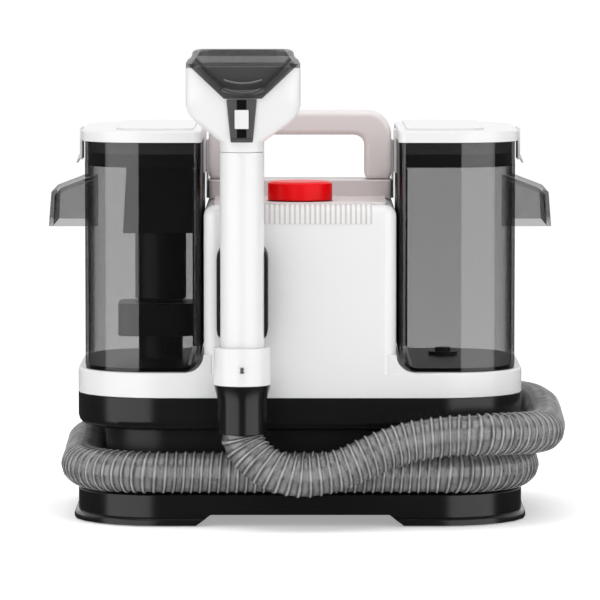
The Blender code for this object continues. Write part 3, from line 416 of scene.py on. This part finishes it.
white_plastic = smooth_plastic("white_plastic", (0.83, 0.83, 0.832), 0.28, 0.012)
black_plastic = smooth_plastic("black_plastic", (0.008, 0.008, 0.0085), 0.2, 0.15, shine=0.32)
matt_black = smooth_plastic("matt_black", (0.0045, 0.0045, 0.0045), 0.34, 0.2, LOW_DEPTH, 0.3)
grey_plastic = smooth_plastic("grey_plastic", (0.74, 0.69, 0.685), 0.3, 0.02)
pale_grey = smooth_plastic("pale_grey", (0.80, 0.755, 0.75), 0.3, 0.02)
red_plastic = smooth_plastic("red_plastic", (0.86, 0.0012, 0.004), 0.3, 0.03, shine=0.12)
track_grey = smooth_plastic("track_grey", (0.085, 0.085, 0.088), 0.3, 0.05)
rubber = plastic("rubber", (0.022, 0.022, 0.022), 0.62, shade=0.3, grain=1500.0, depth=0.0001)
METAL_STREAK = 260.0


def metal(name, colour, roughness):
    """Drawn or pressed metal, with fine streaks along one way."""
    finish = bpy.data.materials.new(name)
    finish.use_nodes = True
    nodes, links = finish.node_tree.nodes, finish.node_tree.links
    shader = nodes["Principled BSDF"]
    shader.inputs["Metallic"].default_value = 1.0
    place = nodes.new("ShaderNodeTexCoord")
    stretch = nodes.new("ShaderNodeMapping")
    stretch.inputs["Scale"].default_value = (METAL_STREAK, METAL_STREAK, METAL_STREAK * 8)
    noise = nodes.new("ShaderNodeTexNoise")
    noise.inputs["Scale"].default_value = 1.0
    noise.inputs["Detail"].default_value = 3.0
    links.new(place.outputs["Object"], stretch.inputs["Vector"])
    links.new(stretch.outputs["Vector"], noise.inputs["Vector"])
    shades = nodes.new("ShaderNodeValToRGB")
    shades.color_ramp.elements[0].color = (*(c * 0.82 for c in colour), 1.0)
    shades.color_ramp.elements[1].color = (*colour, 1.0)
    rough = nodes.new("ShaderNodeMapRange")
    rough.inputs["To Min"].default_value = roughness * 0.8
    rough.inputs["To Max"].default_value = roughness * 1.4
    links.new(noise.outputs["Fac"], shades.inputs["Fac"])
    links.new(noise.outputs["Fac"], rough.inputs["Value"])
    links.new(shades.outputs["Color"], shader.inputs["Base Color"])
    links.new(rough.outputs["Result"], shader.inputs["Roughness"])
    return finish


steel = metal("steel", (0.72, 0.72, 0.74), 0.22)
SMOKE_EDGE_POWER, SMOKE_IOR = 5.0, 2.0


def smoke_clear(name, clear, edge, tint=(0.006, 0.006, 0.0065)):
    """Smoke-grey clear plastic, which hides more where its wall is seen edge on."""
    finish = bpy.data.materials.new(name)
    finish.use_nodes = True
    nodes, links = finish.node_tree.nodes, finish.node_tree.links
    shader = nodes["Principled BSDF"]
    facing = nodes.new("ShaderNodeLayerWeight")
    facing.inputs["Blend"].default_value = 0.5
    power = nodes.new("ShaderNodeMath")
    power.operation = "POWER"
    power.inputs[1].default_value = SMOKE_EDGE_POWER
    links.new(facing.outputs["Facing"], power.inputs[0])
    cover = nodes.new("ShaderNodeMapRange")
    cover.inputs["To Min"].default_value = clear
    cover.inputs["To Max"].default_value = edge
    links.new(power.outputs[0], cover.inputs["Value"])
    links.new(cover.outputs["Result"], shader.inputs["Alpha"])
    place = nodes.new("ShaderNodeTexCoord")
    cloud = nodes.new("ShaderNodeTexNoise")
    cloud.inputs["Scale"].default_value = 12.0
    links.new(place.outputs["Object"], cloud.inputs["Vector"])
    shades = nodes.new("ShaderNodeValToRGB")
    shades.color_ramp.elements[0].color = (*(c * 0.85 for c in tint), 1.0)
    shades.color_ramp.elements[1].color = (*(c * 1.15 for c in tint), 1.0)
    links.new(cloud.outputs["Fac"], shades.inputs["Fac"])
    links.new(shades.outputs["Color"], shader.inputs["Base Color"])
    gloss = nodes.new("ShaderNodeMapRange")
    gloss.inputs["To Min"].default_value = 0.02
    gloss.inputs["To Max"].default_value = 0.05
    links.new(cloud.outputs["Fac"], gloss.inputs["Value"])
    links.new(gloss.outputs["Result"], shader.inputs["Roughness"])
    shader.inputs["IOR"].default_value = SMOKE_IOR
    return finish


tank_smoke = smoke_clear("tank_smoke", 0.32, 0.95)
slot_black = plastic("slot_black", (0.004, 0.004, 0.004), 0.5, shade=0.2, shine=0.1)
# The paler grey of the window's two ridges is painted highlight.
window_gloss_highlight = plastic("window_gloss_highlight", (0.12, 0.12, 0.122), 0.15, shade=0.05, shine=1.0)
window_smoke = smoke_clear("window_smoke", 0.5, 0.96, (0.02, 0.02, 0.022))
HARD_ANGLE, FACET_ANGLE, WELD = math.radians(30.0), math.radians(0.6), 0.00001


def moulded_skin(node, finish, body, soft=0.6, segments=2):
    """A finished skin for a node of the frame: its facets joined, its hard edges softened."""
    bm = bmesh.new()
    bm.from_mesh(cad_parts[node].data)
    bmesh.ops.remove_doubles(bm, verts=bm.verts, dist=WELD)
    bmesh.ops.dissolve_limit(bm, angle_limit=FACET_ANGLE, verts=bm.verts, edges=bm.edges)
    mesh = bpy.data.meshes.new(f"{node}_skin")
    bm.to_mesh(mesh)
    bm.free()
    mesh.shade_smooth()
    mesh.set_sharp_from_angle(angle=HARD_ANGLE)
    mesh.materials.append(finish)
    skin = bpy.data.objects.new(f"{node}_skin", mesh)
    bpy.context.scene.collection.objects.link(skin)
    if soft:
        edge = skin.modifiers.new("soft_edge", "BEVEL")
        edge.width = soft * MM
        edge.segments = segments
        edge.limit_method = "ANGLE"
        edge.angle_limit = HARD_ANGLE
        edge.use_clamp_overlap = True
        edge.harden_normals = False
    weight = skin.modifiers.new("flat_faces", "WEIGHTED_NORMAL")
    weight.keep_sharp = not soft
    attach(skin, body)
    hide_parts(node)
    return skin


# ---- Base, chassis and housing --------------------------------------------------------------
# A black base with a hose channel above it, then the white shell that rises into the tower. The
# numbers are how far each piece's edges are rounded, in millimetres, and in how many steps. The
# button's spring stands on the machine.
moulded_skin("base_tray", black_plastic, "machine", 0.8, 3)
moulded_skin("channel_core", matt_black, "machine", 0.5)
moulded_skin("chassis_tray", black_plastic, "machine", 0.6)
moulded_skin("main_housing", white_plastic, "machine", 0.7, 3)
moulded_skin("rear_cover", white_plastic, "machine", 0.5)
moulded_skin("top_deck", grey_plastic, "machine", 0.6)
moulded_skin("carry_handle", pale_grey, "machine", 4.5, 5)
moulded_skin("power_button", red_plastic, "power_button", 0.8, 3)
spring_skin = moulded_skin("button_spring", steel, "machine", 0.0)
moulded_skin("tool_cradle", matt_black, "machine", 0.6)
moulded_skin("hose_port", black_plastic, "machine", 0.5)
moulded_skin("hose_cuff", rubber, "machine", 0.5)
moulded_skin("cord_gland", rubber, "machine", 0.4)
for number in range(1, 5):
    moulded_skin(f"rubber_foot_{number}", rubber, "machine", 0.4)
for side in ("left", "right"):
    moulded_skin(f"tank_latch_{side}", steel, "machine", 0.3)

# ---- Air grille -----------------------------------------------------------------------------
# White ribs moulded over the front's rounded top edge, with a strip of foam behind them. The foam's
# pinkish grey, darker than the ribs, is painted shade in the gaps between them.
VENT_PITCH, VENT_RIBS, VENT_HALF = 4.06 * MM, 28, 57.5 * MM
VENT_LOW, VENT_SHOULDER, SHOULDER_R = 242.8 * MM, 248.5 * MM, 9.0 * MM
RIB_WIDTH, RIB_PROUD, FOAM_PROUD, RIB_DEEP = 2.5 * MM, 0.6 * MM, 0.15 * MM, 0.9 * MM
tower_front = MIDDLE_Y - 119.85 * MM


def over_shoulder(x_low, x_high, proud):
    """A strip that climbs the front and bends back over the shoulder, this much proud of it."""
    bm = bmesh.new()
    y_out, y_in = tower_front - proud, tower_front + RIB_DEEP
    corners = ((x_low, y_out), (x_high, y_out), (x_high, y_in), (x_low, y_in))
    foot = bm.faces.new([bm.verts.new((x, y, VENT_LOW)) for x, y in corners])
    grown = bmesh.ops.extrude_face_region(bm, geom=[foot])["geom"]
    top = [item for item in grown if isinstance(item, bmesh.types.BMFace)]
    rise = (0.0, 0.0, VENT_SHOULDER - VENT_LOW)
    raised = [item for item in grown if isinstance(item, bmesh.types.BMVert)]
    bmesh.ops.translate(bm, verts=raised, vec=rise)
    centre = (0.0, tower_front + SHOULDER_R, VENT_SHOULDER)
    quarter = math.radians(-90.0)
    bmesh.ops.spin(bm, geom=top, cent=centre, axis=(1.0, 0.0, 0.0), angle=quarter, steps=6)
    bmesh.ops.delete(bm, geom=top, context="FACES_ONLY")
    return bm


def joined(name, strips, finish, body):
    """One piece made of several closed strips, each handed in as a bmesh."""
    mesh = bpy.data.meshes.new(name)
    whole = bmesh.new()
    for strip in strips:
        strip.to_mesh(mesh)
        strip.free()
        whole.from_mesh(mesh)
        mesh.clear_geometry()
    bmesh.ops.recalc_face_normals(whole, faces=whole.faces)
    whole.to_mesh(mesh)
    whole.free()
    mesh.shade_smooth()
    mesh.set_sharp_from_angle(angle=math.radians(35.0))
    mesh.materials.append(finish)
    piece = bpy.data.objects.new(name, mesh)
    bpy.context.scene.collection.objects.link(piece)
    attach(piece, body)
    return piece


# The foam's pinkish grey, darker than the ribs, is painted shade between them.
foam_painted_shade = plastic("vent_foam_painted_shade", (0.66, 0.60, 0.60), 0.8, 0.3, grain=700.0, depth=0.0002, shine=0.1)
rib_places = [(i - (VENT_RIBS - 1) / 2) * VENT_PITCH for i in range(VENT_RIBS)]
rib_strips = [over_shoulder(x - RIB_WIDTH / 2, x + RIB_WIDTH / 2, RIB_PROUD) for x in rib_places]
vent_ribs = joined("vent_ribs", rib_strips, white_plastic, "machine")
foam_strip = over_shoulder(-VENT_HALF, VENT_HALF, FOAM_PROUD)
joined("vent_foam_painted_shade", [foam_strip], foam_painted_shade, "machine")
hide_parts("vent_grille")

# ---- Tanks ----------------------------------------------------------------------------------
# Two smoke-clear tanks with white lids on black seals. The tower's side of each is lined black.
# The dirty tank also holds the suction column, its float and the separator.
TANK_INNER_REACH, TANK_FLOOR_TOP, SEAL_GROOVE = 82.5 * MM, 127.0 * MM, 297.6 * MM
seal_grey = smooth_plastic("seal_grey", (0.06, 0.06, 0.061), 0.4, 0.1, LOW_DEPTH)


def black_lining(skin):
    """Paints the wall that stands against the tower and the floor, which are lined with black film."""
    skin.data.materials.append(matt_black)
    for face in skin.data.polygons:
        on_wall = abs(face.center.x) < TANK_INNER_REACH and abs(face.normal.x) > 0.9
        on_floor = face.center.z < TANK_FLOOR_TOP and abs(face.normal.z) > 0.9
        if on_wall or on_floor:
            face.material_index = 1


def paler_top(skin):
    """Splits a seal's skin level with its groove and gives the part above a paler grey."""
    bm = bmesh.new()
    bm.from_mesh(skin.data)
    everything = bm.verts[:] + bm.edges[:] + bm.faces[:]
    groove = (0.0, 0.0, SEAL_GROOVE)
    bmesh.ops.bisect_plane(bm, geom=everything, plane_co=groove, plane_no=(0.0, 0.0, 1.0))
    skin.data.materials.append(seal_grey)
    for face in bm.faces:
        if face.calc_center_median().z > SEAL_GROOVE:
            face.material_index = 1
    bm.to_mesh(skin.data)
    bm.free()


for kind in ("clean", "dirty"):
    black_lining(moulded_skin(f"{kind}_tank", tank_smoke, f"{kind}_tank", 0.5))
    moulded_skin(f"{kind}_tank_grip", tank_smoke, f"{kind}_tank", 0.5)
    moulded_skin(f"{kind}_tank_panel", matt_black, f"{kind}_tank", 0.5)
    moulded_skin(f"{kind}_lid", white_plastic, f"{kind}_lid", 1.2, 3)
    paler_top(moulded_skin(f"{kind}_lid_seal", matt_black, f"{kind}_lid", 0.4))
    moulded_skin(f"{kind}_lid_clip", white_plastic, f"{kind}_lid_clip", 0.4)
for node in ("separator_housing", "suction_column"):
    moulded_skin(node, matt_black, "dirty_tank", 0.5)
moulded_skin("float_cup", matt_black, "float_cup", 0.5)

# ---- Hand tool ------------------------------------------------------------------------------
# A white tube in a sleeve, with the hose's black collar below it and the trigger behind. The head
# slides on at the top: a white shell, a smoke nozzle window and a track for the release slider.
for node in ("tool_tube", "tool_sleeve"):
    moulded_skin(node, white_plastic, "hand_tool", 0.5)
moulded_skin("hose_collar", black_plastic, "hand_tool", 0.5)
moulded_skin("sleeve_screw", steel, "hand_tool", 0.2)
moulded_skin("spray_trigger", black_plastic, "spray_trigger", 0.8)
moulded_skin("head_shell", white_plastic, "tool_head", 0.6)
moulded_skin("nozzle_window", window_smoke, "tool_head", 0.5)
moulded_skin("slider_track", track_grey, "tool_head", 1.2, 3)

# The window's face has a rounded rim down both sides and round the foot, and two bowed ridges
# across the foot. The ridges' paler grey is painted highlight on top of their own gloss.
window_low, window_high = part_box("nozzle_window")
window_x = (window_low.x + window_high.x) / 2
window_front = window_low.y


def rounded_bead(name, path, wide, proud, finish):
    """A rounded bead half sunk in the window's face, swept along a path of (x, z) places."""
    line = [Vector((window_x + x * MM, window_front, z * MM)) for x, z in path]
    bm = bmesh.new()
    bmesh.ops.create_circle(bm, cap_ends=True, segments=12, radius=1.0)
    bmesh.ops.scale(bm, verts=bm.verts, vec=(wide * MM, proud * MM, 1.0))
    heading = line[1] - line[0]
    bmesh.ops.rotate(bm, verts=bm.verts, matrix=heading.to_track_quat("Z", "Y").to_matrix())
    bmesh.ops.translate(bm, verts=bm.verts, vec=line[0])
    face = bm.faces[:]
    for before, here, after in zip(line, line[1:], line[2:] + [2 * line[-1] - line[-2]]):
        grown = bmesh.ops.extrude_face_region(bm, geom=face)["geom"]
        verts = [item for item in grown if isinstance(item, bmesh.types.BMVert)]
        if before is not line[0]:
            bmesh.ops.delete(bm, geom=face, context="FACES_ONLY")
        face = [item for item in grown if isinstance(item, bmesh.types.BMFace)]
        bmesh.ops.translate(bm, verts=verts, vec=here - before)
        turn = (here - before).rotation_difference(after - here).to_matrix()
        bmesh.ops.rotate(bm, verts=verts, cent=here, matrix=turn)
    return joined(name, [bm], finish, "tool_head")


def bowed(half, ends, middle, count=12):
    """Places along a bow that sags from its ends to its middle."""
    span = [(2.0 * i / count - 1.0) for i in range(count + 1)]
    return [(half * t, middle + (ends - middle) * t * t) for t in span]


RIM_HALF_TOP, RIM_HALF_LOW, RIM_TOP, RIM_LOW, RIM_STEPS, RIM_SAG = 37.4, 14.6, 376.0, 352.2, 6, 3.4
rim_left = []
for i in range(RIM_STEPS):
    x = -RIM_HALF_TOP + (RIM_HALF_TOP - RIM_HALF_LOW) * i / RIM_STEPS
    rim_left.append((x, RIM_TOP - (RIM_TOP - RIM_LOW) * i / RIM_STEPS))
rim_right = [(-x, z) for x, z in reversed(rim_left)]
rim_line = rim_left + bowed(RIM_HALF_LOW, RIM_LOW, RIM_LOW - RIM_SAG) + rim_right
rounded_bead("window_rim", rim_line, 3.6, 1.5, window_smoke)
rounded_bead("window_ridge_high", bowed(15.0, 359.0, 356.4), 1.2, 1.0, window_gloss_highlight)
rounded_bead("window_ridge_low", bowed(16.4, 351.8, 349.0), 1.2, 1.9, window_gloss_highlight)

# The slot down the middle of the slider's track, and the fine line across its foot.
track_low, track_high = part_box("slider_track")
track_x = (track_low.x + track_high.x) / 2
TRACK_FOOT_BACK, TRACK_FOOT_Z = 8.6, 308.5
TRACK_SLOPE = math.atan2(8.4, 35.5)


def on_track(name, half, low, high, proud, finish):
    """A thin plate on the sloping face of the track."""
    foot_y = window_front + TRACK_FOOT_BACK * MM
    bm = bmesh.new()
    bmesh.ops.create_cube(bm, size=1.0)
    for vert in bm.verts:
        x, y, z = vert.co
        height = high if z > 0 else low
        face = foot_y - (height - TRACK_FOOT_Z) * MM * math.tan(TRACK_SLOPE)
        vert.co = (track_x + 2 * x * half * MM, face - (proud * MM if y < 0 else 0.0), height * MM)
    return joined(name, [bm], finish, "tool_head")


on_track("track_slot", 3.8, 313.2, 343.4, 0.08, slot_black)
on_track("track_line", 8.6, 312.3, 312.7, 0.06, slot_black)
moulded_skin("release_slider", white_plastic, "release_slider", 0.5)

# ---- Works inside ---------------------------------------------------------------------------
# These CAD nodes stay as they are, hidden in the shells, and only get their finishes. The button's
# spring gets a mesh of its own.
inner_finishes = {
    "switch_bracket": matt_black, "power_switch": matt_black, "suction_motor": steel,
    "fan_impeller": grey_plastic, "fan_housing": matt_black, "motor_mount": matt_black,
    "water_pump": matt_black, "control_board": grey_plastic, "suction_duct": matt_black,
    "water_line": rubber, "rear_screw_1": steel, "rear_screw_2": steel,
    "clean_valve_body": matt_black, "clean_valve_poppet": rubber,
}
for node, finish in inner_finishes.items():
    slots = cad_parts[node].data.materials
    slots.clear()
    slots.append(finish)

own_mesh(spring_skin)
